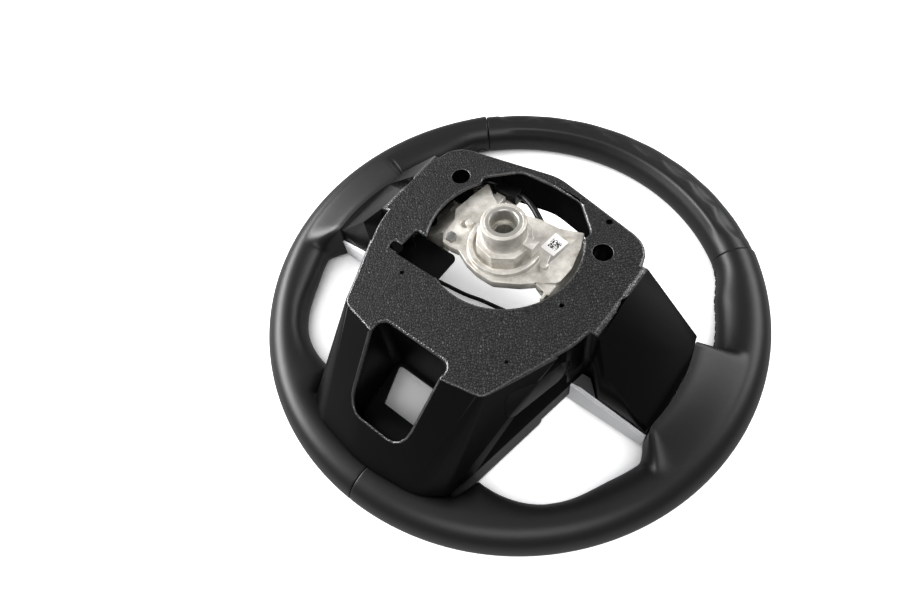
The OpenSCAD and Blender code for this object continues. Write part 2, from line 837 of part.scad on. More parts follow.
// Wires: round tubes swept along points chosen by hand
lower_route = [[-82, -20, 20], [-76, -20, 20], [-66, -21, 19], [-54, -21, 18], [-42, -19, 16], [-28, -17, 15],
    [-14, -14, 15], [0, -12, 15], [14, -10, 16], [28, -8, 17], [44, -6, 18], [58, -4, 19], [70, -3, 20],
    [82, -3, 20]];
upper_route = [[-19.9, 46, 76], [-16, 45.8, 76], [-10, 44, 75.5], [-4, 41.3, 74.5], [2, 38, 73],
    [8, 34.6, 71], [14, 31.2, 68], [20, 28, 64], [26, 24, 57], [33, 18, 47], [43, 10, 38], [55, 3, 30],
    [68, 2, 22], [76, 4, 19], [82, 4, 19]];
right_route = [[-33.2, 45, 76], [-37, 45, 76], [-42, 44.8, 76.2], [-48, 42.6, 76.6], [-54, 39.2, 75.4],
    [-60, 35.6, 71.6], [-67, 32, 65], [-73, 30.4, 57], [-77, 28, 48], [-79, 25, 38], [-79.5, 20, 29],
    [-79.2, 14, 22], [-79.4, 10.6, 19.6], [-80.5, 9, 19], [-82, 9, 19]];

function tangent(p, i) = unit(p[min(i + 1, len(p) - 1)] - p[max(i - 1, 0)]);
module wire(route, r, n = 8) {
    m = len(route);
    points = [for (i = [0:m - 1])
        let (t = tangent(route, i), u = unit(cross(t, [0, 0, 1])), v = cross(u, t))
        for (j = [0:n - 1]) route[i] + r * (u * cos(360 * j / n) + v * sin(360 * j / n))];
    sides_f = [for (i = [0:m - 2], j = [0:n - 1])
        let (a = i * n + j, b = i * n + (j + 1) % n) each [[a, b, a + n], [b, b + n, a + n]]];
    caps = [[for (j = [n - 1:-1:0]) j], [for (j = [0:n - 1]) (m - 1) * n + j]];
    polyhedron(points = points, faces = concat(sides_f, caps), convexity = 10);
}

module harness_lower() {
    color("#141414")
        wire(lower_route, 1.6);
}

module harness_upper() {
    color("#141414")
        wire(upper_route, 2.4);
}

module harness_right() {
    color("#141414")
        wire(right_route, 1.8);
}

module harness_plug() {
    color("#101010")
        translate(plug_seat + [0, 0, 4])
            difference() {
                cube([18, 11, 8], center = true);
                translate([-9, 0, 0])
                    cube([10, 8, 5], center = true);
            }
}

module part_sticker() {
    color("#e9e7e2")
        translate([26.8, 19.5, plate_z + 0.15])
            rotate([0, 0, -8])
                cube([11.5, 15, 0.3], center = true);
}

armature();
rim_insert();
hub_insert();
rim_foam();
leather_top();
leather_left();
leather_right();
back_cover();
side_plug_left();
side_plug_right();
lead_bracket();
spoke_bezel_left();
spoke_bezel_right();
spoke_trim_left();
spoke_trim_right();
lower_spoke_bezel();
switch_housing_left();
switch_housing_right();
rocker_left();
rocker_right();
upper_button_left();
upper_button_right();
lower_button_left();
lower_button_right();
clip_spring_left();
clip_spring_right();
cover_screws();
earth_screw();
harness_lower();
harness_upper();
harness_right();
harness_plug();
part_sticker();
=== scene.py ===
"""Looks of a leather-covered car steering wheel, seen from the steering column's side.

The wheel lies on the front of its rim. +Z points to the column and +Y to the top of the wheel.
"""

import json
import math

import bmesh
import bpy
import numpy as np
from mathutils import Matrix, Vector

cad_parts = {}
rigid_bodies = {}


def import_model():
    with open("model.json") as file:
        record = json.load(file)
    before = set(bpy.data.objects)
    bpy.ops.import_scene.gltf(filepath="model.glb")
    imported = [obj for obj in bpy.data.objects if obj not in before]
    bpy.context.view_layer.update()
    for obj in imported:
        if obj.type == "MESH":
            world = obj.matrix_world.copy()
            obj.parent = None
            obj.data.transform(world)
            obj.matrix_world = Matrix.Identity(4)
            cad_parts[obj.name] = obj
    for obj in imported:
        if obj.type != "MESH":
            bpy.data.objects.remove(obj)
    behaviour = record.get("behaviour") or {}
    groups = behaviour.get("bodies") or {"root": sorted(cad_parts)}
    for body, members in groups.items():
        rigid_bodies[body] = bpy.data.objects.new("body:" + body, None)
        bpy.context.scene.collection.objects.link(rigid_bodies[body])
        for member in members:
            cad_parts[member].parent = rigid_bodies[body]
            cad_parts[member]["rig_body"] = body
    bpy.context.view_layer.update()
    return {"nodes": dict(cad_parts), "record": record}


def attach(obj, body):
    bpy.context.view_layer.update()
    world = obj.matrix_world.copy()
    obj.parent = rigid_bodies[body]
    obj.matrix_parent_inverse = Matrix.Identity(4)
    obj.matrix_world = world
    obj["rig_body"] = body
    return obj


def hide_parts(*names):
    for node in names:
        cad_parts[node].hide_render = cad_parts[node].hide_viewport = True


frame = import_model()

MM = 0.001

# Driving sizes of the rim, as in the part's source, in millimetres
RIM_D = 375
RIM_T = 30
LEATHER_T = 1.4
GRIPS = 8
GRIP_DEPTH = 2.4
SEAM_LEFT = 46
SEAM_RIGHT = 132
SEAM_LOW = -88
ROOT_R = 139.5
ROOT_SKEW = 3.5
ROOT_UP = 24
ROOT_DOWN = 9
FOOT_FROM, FOOT_PEAK, FOOT_TO, FOOT_W = 44.5, 61.8, 67, 14.5
FACE_Z = 91.3
PLATE_Z = 83
MID = RIM_T / 2
RING_R = (RIM_D - RIM_T) / 2
RELEASE_X, RELEASE_Y, RELEASE_R = 58.5, 27, 6.5
LOCATING_HOLES = [[-40, -60], [59, -21], [54, -72], [49, 50]]
LOWER_EDGE_Y = -99.5
FRONT_SLOPE = 1.02
MOUTH_HALF, MOUTH_LOW, MOUTH_HIGH, MOUTH_DEPTH = 34, -150, -96, 8
OPENING_HALF, OPENING_LOW, OPENING_TOP, OPENING_FALL = 79, -60, 63.5, 0.205
SLEEVE_IN, SLEEVE_OUT, SLEEVE_TOP, SLEEVE_LOW = 6.55, 7.7, 89.5, 69.5
HUB_REACH = 95
STICKER_PLACE = (26.8, 19.5, PLATE_Z)
STICKER_TURN = -8
STICKER_CELL = 0.62
STICKER_HALF = 5.6


# Making meshes

def mesh_object(name, points, faces, smooth=True):
    """A piece from points in millimetres and faces as an index array, placed in the row frame."""
    mesh = bpy.data.meshes.new(name)
    mesh.from_pydata((np.asarray(points, float) * MM).tolist(), [],
                     faces if isinstance(faces, list) else np.asarray(faces).tolist())
    mesh.validate()
    if smooth:
        mesh.polygons.foreach_set("use_smooth", np.ones(len(mesh.polygons), bool))
    piece = bpy.data.objects.new(name, mesh)
    bpy.context.scene.collection.objects.link(piece)
    return piece


def grid_faces(rows, columns, start=0, close_rows=False, close_columns=False):
    """Quads over a grid of points that are numbered row by row from start."""
    i = np.arange(rows if close_rows else rows - 1)[:, None]
    j = np.arange(columns if close_columns else columns - 1)[None, :]
    corner = lambda a, b: start + (a % rows) * columns + b % columns
    quads = np.stack([corner(i, j), corner(i, j + 1), corner(i + 1, j + 1), corner(i + 1, j)], -1)
    return quads.reshape(-1, 4)


def ease(t):
    """A smooth step from 0 to 1: three times the square less twice the cube."""
    t = np.clip(t, 0, 1)
    return t * t * (3 - 2 * t)


def copy_of_node(name, node, bevel=0.0, segments=2, angle=30, clamp=True, choose=None, edge_slot=-1):
    """The CAD node's own form with its doubles merged, its flat parts joined and its edges rounded: all
    that are steeper than an angle, or those to which the function choose gives a weight. Those to which
    it gives less than nothing stay sharp. The rounded edges may have a material slot of their own."""
    source = frame["nodes"][node]
    piece = bpy.data.objects.new(name, source.data.copy())
    bpy.context.scene.collection.objects.link(piece)
    piece.data.materials.clear()
    form = bmesh.new()
    form.from_mesh(piece.data)
    bmesh.ops.remove_doubles(form, verts=form.verts, dist=0.00002)
    bmesh.ops.dissolve_limit(form, angle_limit=math.radians(1.0), verts=form.verts, edges=form.edges)
    if choose:
        weight = form.edges.layers.float.new("bevel_weight_edge")
        for edge in form.edges:
            chosen = choose(edge)
            edge[weight] = max(0.0, chosen)
            edge.smooth = chosen >= 0
    form.to_mesh(piece.data)
    form.free()
    if bevel:
        rounding = piece.modifiers.new("rounding", "BEVEL")
        rounding.width = bevel * MM
        rounding.material = edge_slot
        rounding.segments = segments
        rounding.limit_method = "WEIGHT" if choose else "ANGLE"
        rounding.angle_limit = math.radians(angle)
        rounding.harden_normals = edge_slot < 0
        rounding.use_clamp_overlap = clamp
    if edge_slot >= 0:
        flat = piece.modifiers.new("flat_faces", "WEIGHTED_NORMAL")
        flat.weight = 60
        flat.keep_sharp = True
    piece.data.polygons.foreach_set("use_smooth", np.ones(len(piece.data.polygons), bool))
    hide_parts(node)
    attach(piece, source["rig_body"])
    return piece


# Making materials

def linear(hex_colour):
    """An sRGB colour such as 1f1f20 as linear red, green, blue and 1."""
    parts = np.array([int(hex_colour[i:i + 2], 16) / 255 for i in (0, 2, 4)])
    parts = np.where(parts <= 0.04045, parts / 12.92, ((parts + 0.055) / 1.055) ** 2.4)
    return (*parts.tolist(), 1.0)


def add(tree, kind, links=(), **settings):
    """Adds a node: settings that name an input set its value, others set the node's own property."""
    made = tree.nodes.new(kind)
    for name, value in settings.items():
        if hasattr(made, name) and name not in ("color",):
            setattr(made, name, value)
        else:
            made.inputs[name.replace("_", " ")].default_value = value
    for target, source in dict(links).items():
        tree.links.new(source, made.inputs[target])
    return made


def material(name, colour, roughness, metallic=0.0, **sockets):
    """A material of one surface shader, with its tree, its shader and its object coordinates."""
    made = bpy.data.materials.new(name)
    made.use_nodes = True
    tree = made.node_tree
    shader = tree.nodes["Principled BSDF"]
    shader.inputs["Base Color"].default_value = linear(colour)
    shader.inputs["Roughness"].default_value = roughness
    shader.inputs["Metallic"].default_value = metallic
    for socket, value in sockets.items():
        shader.inputs[socket.replace("_", " ")].default_value = value
    place = add(tree, "ShaderNodeTexCoord").outputs["Object"]
    return made, tree, shader, place


def smooth_leather():
    """Cowhide with a pigment coat, stretched on the rim: a satin skin with fine pores."""
    made, tree, shader, place = material("smooth_leather", "101011", 0.4, Specular_IOR_Level=0.42)
    pores = add(tree, "ShaderNodeTexVoronoi", {"Vector": place}, Scale=1100.0)
    folds = add(tree, "ShaderNodeTexNoise", {"Vector": place}, Scale=90.0, Detail=3.0)
    fine = add(tree, "ShaderNodeBump", {"Height": pores.outputs["Distance"]}, Strength=0.10, Distance=0.0002)
    soft = add(tree, "ShaderNodeBump", {"Height": folds.outputs["Fac"], "Normal": fine.outputs["Normal"]},
               Strength=0.12, Distance=0.0006)
    tree.links.new(soft.outputs["Normal"], shader.inputs["Normal"])
    return made


def moulded_grain(name, hollows, pebble, roughness, strength, **sockets):
    """Moulded polypropylene with a leather grain etched into the mould: matt, with rounded pebbles."""
    made, tree, shader, place = material(name, pebble, roughness, **sockets)
    pebbles = add(tree, "ShaderNodeTexVoronoi", {"Vector": place}, feature="DISTANCE_TO_EDGE", Scale=540.0)
    rough = add(tree, "ShaderNodeTexNoise", {"Vector": place}, Scale=1500.0, Detail=2.0)
    round_off = add(tree, "ShaderNodeMapRange", {"Value": pebbles.outputs["Distance"]},
                    interpolation_type="SMOOTHSTEP")
    round_off.inputs["From Max"].default_value = 0.28
    fine = add(tree, "ShaderNodeBump", {"Height": rough.outputs["Fac"]}, Strength=0.15, Distance=0.0002)
    bump = add(tree, "ShaderNodeBump",
               {"Height": round_off.outputs["Result"], "Normal": fine.outputs["Normal"]},
               Strength=strength, Distance=0.0005)
    tree.links.new(bump.outputs["Normal"], shader.inputs["Normal"])
    tone = add(tree, "ShaderNodeMix", {"Factor": round_off.outputs["Result"]}, data_type="RGBA")
    tone.inputs["A"].default_value = linear(hollows)
    tone.inputs["B"].default_value = linear(pebble)
    tree.links.new(tone.outputs["Result"], shader.inputs["Base Color"])
    return made


def moulded_smooth_painted_shade():
    """The same moulding where the mould was only polished: more even, and painted darker than the grained
    face, as painted shade on the flanks, which turn away from the light above.
    """
    made, tree, shader, place = material("smooth_moulding_painted_shade", "070708", 0.34, Specular_IOR_Level=0.12)
    ripple = add(tree, "ShaderNodeTexNoise", {"Vector": place}, Scale=500.0, Detail=2.0)
    bump = add(tree, "ShaderNodeBump", {"Height": ripple.outputs["Fac"]}, Strength=0.08, Distance=0.0002)
    tree.links.new(bump.outputs["Normal"], shader.inputs["Normal"])
    return made


def cast_alloy():
    """Pressure-cast magnesium alloy: pale warm grey, matt, with cloudy flow marks."""
    made, tree, shader, place = material("die_cast_alloy", "c6c1b8", 0.4, 0.45)
    cloud = add(tree, "ShaderNodeTexNoise", {"Vector": place}, Scale=60.0, Detail=5.0, Roughness=0.65)
    tone = add(tree, "ShaderNodeValToRGB", {"Fac": cloud.outputs["Fac"]})
    tone.color_ramp.elements[0].position = 0.3
    tone.color_ramp.elements[0].color = linear("9a948a")
    tone.color_ramp.elements[1].position = 0.62
    tone.color_ramp.elements[1].color = linear("dfdbd3")
    tree.links.new(tone.outputs["Color"], shader.inputs["Base Color"])
    grit = add(tree, "ShaderNodeTexNoise", {"Vector": place}, Scale=900.0, Detail=3.0)
    bump = add(tree, "ShaderNodeBump", {"Height": grit.outputs["Fac"]}, Strength=0.2, Distance=0.0004)
    tree.links.new(bump.outputs["Normal"], shader.inputs["Normal"])
    return made


def plain(name, colour, roughness, metallic=0.0, grain=700.0, strength=0.08, **sockets):
    """A moulded or plated finish with only a faint unevenness."""
    made, tree, shader, place = material(name, colour, roughness, metallic, **sockets)
    noise = add(tree, "ShaderNodeTexNoise", {"Vector": place}, Scale=grain, Detail=2.0)
    bump = add(tree, "ShaderNodeBump", {"Height": noise.outputs["Fac"]}, Strength=strength, Distance=0.0002)
    tree.links.new(bump.outputs["Normal"], shader.inputs["Normal"])
    return made


def sticker():
    """White polyester film with a printed field of small dark squares, which stands for no real code."""
    made, tree, shader, place = material("label_film", "efedea", 0.4)
    local = add(tree, "ShaderNodeMapping", {"Vector": place}, vector_type="TEXTURE")
    local.inputs["Location"].default_value = Vector(STICKER_PLACE) * MM
    local.inputs["Rotation"].default_value = (0, 0, math.radians(STICKER_TURN))
    local.inputs["Scale"].default_value = Vector((1, 1, 1)) * STICKER_CELL * MM
    cell = add(tree, "ShaderNodeVectorMath", {0: local.outputs["Vector"]}, operation="FLOOR")
    dots = add(tree, "ShaderNodeTexWhiteNoise", {"Vector": cell.outputs["Vector"]}, noise_dimensions="2D")
    parts = add(tree, "ShaderNodeSeparateXYZ", {"Vector": cell.outputs["Vector"]})
    field = dots.outputs["Value"]
    field = add(tree, "ShaderNodeMath", {0: field}, operation="GREATER_THAN").outputs[0]
    field.node.inputs[1].default_value = 0.42
    for axis in ("X", "Y"):
        span = add(tree, "ShaderNodeMath", {0: parts.outputs[axis]}, operation="ADD")
        span.inputs[1].default_value = 0.5
        size = add(tree, "ShaderNodeMath", {0: span.outputs[0]}, operation="ABSOLUTE")
        inside = add(tree, "ShaderNodeMath", {0: size.outputs[0]}, operation="LESS_THAN")
        inside.inputs[1].default_value = STICKER_HALF
        field = add(tree, "ShaderNodeMath", {0: field, 1: inside.outputs[0]}, operation="MULTIPLY").outputs[0]
    tone = add(tree, "ShaderNodeMix", {"Factor": field}, data_type="RGBA")
    tone.inputs["A"].default_value = linear("efedea")
    tone.inputs["B"].default_value = linear("1c1c1e")
    tree.links.new(tone.outputs["Result"], shader.inputs["Base Color"])
    return made


leather = smooth_leather()
# The grain on the face is real. Its tone, much paler than the flanks, is painted light from above on the
# face, which looks up.
grained_painted_lit = moulded_grain("grained_moulding_painted_lit", "040404", "262627", 0.5, 1.0, Specular_IOR_Level=0.3)
smooth = moulded_smooth_painted_shade()
alloy = cast_alloy()
# Waxed polyester thread, in the leather's own colour: matt and fibrous
thread = plain("waxed_thread", "101011", 0.55, grain=2500.0, strength=0.3)
finishes = {
    # Self-skinned polyurethane foam: dull and even
    "foam": plain("moulded_foam_skin", "141414", 0.8),
    # Steel, turned and broached: smooth, with a soft bright mirror
    "hub_steel": plain("turned_steel", "c4c1ba", 0.3, 0.75),
    # ABS with a spark-eroded grain: a greyer, matt web behind the trim
    "web_plastic": plain("web_moulding", "4a4a4b", 0.5, grain=900.0, strength=0.5),
    # Polypropylene from a polished mould: as dark as the flank round it
    "plug_plastic": plain("black_moulding", "080809", 0.34, Specular_IOR_Level=0.13),
    # ABS from a satin mould: dark, with a soft sheen
    "front_plastic": plain("satin_moulding", "0b0b0c", 0.32, Specular_IOR_Level=0.35),
    # ABS with a satin silver coat: a bright, even strip under a clear surface. Its near-white, unmetallic
    # colour is a painted reflection of the white floor that the strip mirrors
    "silver_trim": plain("plated_plastic_painted_reflection", "fafbfc", 0.3, 0.0, Specular_IOR_Level=1.0),
    # Rubber-coated switch caps: dark grey and matt
    "key_plastic": plain("key_moulding", "242426", 0.5),
    # Drawn steel bar: a dull grey metal
    "bar_steel": plain("drawn_steel", "85837e", 0.45, 1.0),
    # Drawn spring wire: bright and narrow reflections
    "spring_steel": plain("spring_wire", "a9abae", 0.3, 1.0),
    # Steel with a zinc plating: a soft grey metal
    "screw_steel": plain("zinc_plated_steel", "9b9a96", 0.4, 1.0),
    # Braided polyester over the leads, too fine to draw: black and even
    "wire_sheath": plain("wire_sheath", "0a0a0a", 0.35),
    # Glass-filled nylon: black, with a faint sheen
    "connector_plastic": plain("connector_moulding", "080808", 0.3, Specular_IOR_Level=0.3),
    "sticker_film": sticker(),
    "leather": leather,
    "cover_plastic": smooth,
    "cast_alloy": alloy,
}


def dress(piece, *made):
    """Puts these materials in the piece's slots."""
    piece.data.materials.clear()
    for one in made:
        piece.data.materials.append(one)


for sub in frame["record"]["subparts"]:
    dress(frame["nodes"][sub["node"]], finishes[sub["material_slot"]])


# Leather rim

def rise_of(angle):
    """Angle above or below the middle of the nearer spoke."""
    return np.degrees(np.arcsin(np.sin(np.radians(angle))))


def rooted(angle):
    """How far a section has turned into the end of a spoke, 0 to 1."""
    a = rise_of(angle)
    return np.where(a > 0, 1 - ease((a - 13.8) / 3.4), 1 - ease((-a - 14) / 7))


def thumb(angle):
    """Extra width on the inside of the rim, as a rest for the thumb."""
    a = rise_of(angle)
    return np.where(a > 0, 6 * ease((44 - a) / 12), 3.5 * ease((42 + a) / 14))


def foot(angle):
    """Extra width on the inside of the rim where it runs up to the lower spoke: a power curve that rises
    to its peak and falls back in a line under the cover."""
    b = -rise_of(angle)
    up = np.clip((b - FOOT_FROM) / (FOOT_PEAK - FOOT_FROM), 0, 1) ** 1.7
    down = np.clip((FOOT_TO - b) / (FOOT_TO - FOOT_PEAK), 0, 1)
    return FOOT_W * np.minimum(up, down)


def hollow(angle, q):
    """Depth of the finger hollows. Each print has a rounded lower edge, a parabola across the section;
    it is steep there and fades out towards the outside of the rim. A low ridge follows the edge."""
    t = (angle - SEAM_LEFT - 4) / (SEAM_RIGHT - SEAM_LEFT - 8) * GRIPS
    along = 2 * (t - np.floor(t)) - 1
    edge = 108 - 17 * along ** 2
    depth = ease((edge - q) / 26) * (1 - ease((edge - q - 20) / 75))
    ridge = np.exp(-((q - 121) / 11) ** 2) * ease(t / 0.6) * ease((GRIPS - t) / 0.6)
    inside = (t >= 0) & (t <= GRIPS)
    return np.where(inside, 0.45 * GRIP_DEPTH * depth * (1 - 0.3 * along ** 4) - 0.95 * ridge, 0)


def puff(angle):
    """How much thicker the side panels are than the top one, next to the two upper seams."""
    below = np.maximum(SEAM_LEFT - angle, angle - SEAM_RIGHT)
    return np.where(below > 0, 0.9 * np.exp(-np.maximum(below, 0) / 9), 0)


def section(angle, q, depth):
    """Points at angles round the wheel and round its section: a circle that widens for the thumbs,
    dips at the finger hollows and turns into a flat-backed block at the spokes."""
    w = rooted(angle)
    cq, sq = np.cos(np.radians(q)), np.sin(np.radians(q))
    r = MID - depth - hollow(angle, q) + puff(angle) * np.clip(1 + 1.4 * sq, 0, 1)
    inner = np.maximum(0, -cq)
    plain_x = RING_R + r * cq - (thumb(angle) + foot(angle)) * inner ** 2
    plain_z = r * sq
    reach = np.minimum(1, inner / math.cos(math.radians(40)))
    blend = ease(reach * 1.3)
    rise = np.where(sq > 0, ROOT_UP - depth, depth - ROOT_DOWN) * np.minimum(1, np.abs(sq) * 1.9)
    end = ROOT_R - ROOT_SKEW * np.clip(rise_of(angle) / 15, -1, 1)
    root_x = RING_R + r * cq + (end + depth - RING_R + r * inner) * ease(reach)
    root_z = rise * blend + r * sq * (1 - blend)
    x = plain_x * (1 - w) + root_x * w
    z = plain_z * (1 - w) + root_z * w
    turn = np.radians(angle)
    return np.stack([x * np.cos(turn), x * np.sin(turn), MID + z], -1)


def leather_panel(name, node, first, last):
    """A skin of leather between two seams: its outer grid, two rolled edges and its inner grid, closed."""
    n = 96
    inside = np.arange(math.ceil(first + 0.8), last - 0.8, 0.75)
    edge = np.array([0.0, 0.02, 0.08, 0.18, 0.32, 0.5])
    roll = np.array([1.0, 0.62, 0.3, 0.12, 0.03, 0.0])
    gap = 0.06
    angles = np.concatenate([first + gap + edge, inside, last - gap - edge[::-1]])
    sink = np.concatenate([roll, np.zeros(len(inside)), roll[::-1]]) * 0.9
    q = np.arange(n) * 360 / n
    outer = section(angles[:, None], q[None, :], sink[:, None])
    inner = section(angles[:, None], q[None, :], np.full((len(angles), 1), LEATHER_T + 0.1))
    rows = len(angles)
    points = np.concatenate([outer.reshape(-1, 3), inner.reshape(-1, 3)])
    outer_faces = grid_faces(rows, n, 0, close_columns=True)
    inner_faces = grid_faces(rows, n, rows * n, close_columns=True)
    j = np.arange(n)
    k = (j + 1) % n
    low = np.stack([j, k, k + rows * n, j + rows * n], -1)
    high = low + (rows - 1) * n
    faces = np.concatenate([outer_faces[:, ::-1], inner_faces, low, high[:, ::-1]])
    piece = mesh_object(name, points, faces)
    dress(piece, leather)
    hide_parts(node)
    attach(piece, "wheel")
    return piece


leather_panel("rim_leather_top", "leather_top", SEAM_LEFT, SEAM_RIGHT)
leather_panel("rim_leather_left", "leather_left", SEAM_LOW, SEAM_LEFT)
leather_panel("rim_leather_right", "leather_right", SEAM_RIGHT, SEAM_LOW + 360)


# Back cover: the CAD form with rounded edges; its face grained and painted lighter than its flanks, its edges
# with a painted highlight, and its inside matt and in painted shade

def cover_edge(edge):
    """Which edges of the cover are rounded, and how much: the outline of the face, the hub opening and the
    mouth of the lower hole, but not the small holes, which stay sharp."""
    a, b = (np.array(v.co) / MM for v in edge.verts)
    centre = (a + b) / 2
    if not edge.is_manifold or edge.calc_face_angle() < math.radians(38):
        return 0.0
    if min(a[2], b[2]) > FACE_Z - 0.1:
        small = np.linalg.norm(np.array(LOCATING_HOLES) - centre[:2], axis=1).min() < 4
        from_axis = math.hypot(abs(centre[0]) - RELEASE_X, centre[1] - RELEASE_Y)
        release = abs(from_axis - RELEASE_R) < 0.3
        return -1.0 if small else 0.2 if release else 0.55
    front = FACE_Z - FRONT_SLOPE * (LOWER_EDGE_Y - centre[1])
    mouth = (abs(centre[0]) < MOUTH_HALF and MOUTH_LOW < centre[1] < MOUTH_HIGH
             and centre[2] > front - MOUTH_DEPTH)
    return 0.72 if mouth else 0.0


cover = copy_of_node("cover_moulding", "back_cover", bevel=3.2, segments=4, clamp=False, choose=cover_edge,
                     edge_slot=2)
# The rounded edges get paler grain hollows, a painted highlight, and a stronger, coated sheen than the face,
# to bring out the bright lines along the edges
edge_painted_highlight = moulded_grain("edge_grain_painted_highlight", "121212", "222223", 0.3, 0.35, Specular_IOR_Level=0.8,
                          Coat_Weight=0.5, Coat_Roughness=0.25)
# Skins inside the hub opening are rough, nearly black and almost without sheen, darker than the outside:
# painted shade on the walls there
inside_painted_shade = plain("matt_inside_painted_shade", "020202", 0.8, Specular_IOR_Level=0.04)
dress(cover, smooth, grained_painted_lit, edge_painted_highlight, inside_painted_shade)
count = len(cover.data.polygons)
centre, normal = np.empty(count * 3), np.empty(count * 3)
cover.data.polygons.foreach_get("center", centre)
cover.data.polygons.foreach_get("normal", normal)
centre, normal = centre.reshape(-1, 3) / MM, normal.reshape(-1, 3)
on_face = (np.abs(centre[:, 2] - FACE_Z) < 0.2) & (normal[:, 2] > 0.99)
# Faces inside the hub opening, which take the near-black matt skin: painted shade on the walls there
opening_walls_in_painted_shade = ((np.abs(centre[:, 0]) < OPENING_HALF) & (centre[:, 1] > OPENING_LOW) & (centre[:, 2] < FACE_Z - 0.5)
          & (centre[:, 1] < OPENING_TOP - OPENING_FALL * np.abs(centre[:, 0])))
slot_of_face = np.where(on_face, 1, np.where(opening_walls_in_painted_shade, 3, 0)).astype(np.int32)
cover.data.polygons.foreach_set("material_index", slot_of_face)


def sleeve(name, x):
    """A moulded tube under a release hole that guides the screwdriver: four circles turned round its
    axis, closed to a ring, from just under the face to just above the spring."""
    turn = np.arange(48) * 2 * np.pi / 48
    profile = np.array([[SLEEVE_IN, SLEEVE_TOP], [SLEEVE_OUT, SLEEVE_TOP],
                        [SLEEVE_OUT, SLEEVE_LOW], [SLEEVE_IN, SLEEVE_LOW]])
    ring = np.stack([np.cos(turn), np.sin(turn)], -1)
    height = np.broadcast_to(profile[:, None, 1:], (4, 48, 1))
    points = np.concatenate([profile[:, None, :1] * ring[None], height], -1)
    faces = grid_faces(4, 48, close_rows=True, close_columns=True)
    piece = mesh_object(name, points.reshape(-1, 3) + [x, RELEASE_Y, 0], faces[:, ::-1], smooth=False)
    dress(piece, smooth)
    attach(piece, "wheel")


sleeve("release_sleeve_left", RELEASE_X)
sleeve("release_sleeve_right", -RELEASE_X)


# Armature: the CAD form, its edges rounded as cast

def casting_edge(edge):
    """The casting's edges are rounded round the hub only. Its arms and legs end inside the rim."""
    reach = max(math.hypot(v.co.x, v.co.y) for v in edge.verts) / MM
    steep = edge.is_manifold and edge.calc_face_angle() > math.radians(35)
    return 1.0 if reach < HUB_REACH and steep else 0.0


casting = copy_of_node("armature_casting", "armature", bevel=0.6, clamp=False, choose=casting_edge)
dress(casting, alloy)


# Leads: round tubes along smooth curves through the same points as in the part's source

def smooth_route(points, steps=10):
    """A Catmull-Rom curve: each span is a cubic whose end slopes are half the chord of the neighbours."""
    p = np.asarray(points, float)
    p = np.concatenate([[2 * p[0] - p[1]], p, [2 * p[-1] - p[-2]]])
    t = (np.arange(steps) / steps)[None, :, None]
    a, b, c, d = (p[i:len(p) - 3 + i][:, None, :] for i in range(4))
    spans = 0.5 * (2 * b + (c - a) * t + (2 * a - 5 * b + 4 * c - d) * t ** 2
                   + (3 * b - a - 3 * c + d) * t ** 3)
    return np.concatenate([spans.reshape(-1, 3), p[-2:-1]])


def tube(points, radius, sides=14):
    """Points and faces of a round tube: circles square to the path, closed by a fan at each end."""
    path = np.asarray(points, float)
    along = np.gradient(path, axis=0)
    along /= np.linalg.norm(along, axis=1)[:, None]
    across = np.cross(along, [0.0, 0.0, 1.0])
    across /= np.maximum(np.linalg.norm(across, axis=1)[:, None], 1e-6)
    up = np.cross(across, along)
    turn = np.arange(sides) * 2 * np.pi / sides
    rings = (path[:, None] + np.asarray(radius).reshape(-1, 1, 1)
             * (across[:, None] * np.cos(turn)[:, None] + up[:, None] * np.sin(turn)[:, None]))
    n = len(path) * sides
    sides_f = grid_faces(len(path), sides, 0, close_columns=True)[:, ::-1].tolist()
    j = np.arange(sides)
    k = (j + 1) % sides
    first = np.stack([k, j, np.full(sides, n)], -1).tolist()
    last = np.stack([j + n - sides, k + n - sides, np.full(sides, n + 1)], -1).tolist()
    return np.concatenate([rings.reshape(-1, 3), path[:1], path[-1:]]), sides_f, first + last


def lead(name, node, points, radius):
    """A sheathed lead that stands for a CAD node."""
    verts, quads, fans = tube(smooth_route(points), radius)
    piece = mesh_object(name, verts, quads + fans)
    dress(piece, finishes["wire_sheath"])
    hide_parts(node)
    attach(piece, "wheel")


lead("lower_lead", "harness_lower",
     [[-82, -20, 20], [-76, -20, 20], [-66, -21, 19], [-54, -21, 18], [-42, -19, 16], [-28, -17, 15],
      [-14, -14, 15], [0, -12, 15], [14, -10, 16], [28, -8, 17], [44, -6, 18], [58, -4, 19], [70, -3, 20],
      [82, -3, 20]], 1.6)
lead("upper_lead", "harness_upper",
     [[-19.9, 46, 76], [-16, 45.8, 76], [-10, 44, 75.5], [-4, 41.3, 74.5], [2, 38, 73], [8, 34.6, 71],
      [14, 31.2, 68], [20, 28, 64], [26, 24, 57], [33, 18, 47], [43, 10, 38], [55, 3, 30], [68, 2, 22],
      [76, 4, 19], [82, 4, 19]], 2.4)
lead("right_lead", "harness_right",
     [[-33.2, 45, 76], [-37, 45, 76], [-42, 44.8, 76.2], [-48, 42.6, 76.6], [-54, 39.2, 75.4],
      [-60, 35.6, 71.6], [-67, 32, 65], [-73, 30.4, 57], [-77, 28, 48], [-79, 25, 38], [-79.5, 20, 29],
      [-79.2, 14, 22], [-79.4, 10.6, 19.6], [-80.5, 9, 19], [-82, 9, 19]], 1.8)


# Stitching: the edges of each leather panel are drawn together round the inside of the rim

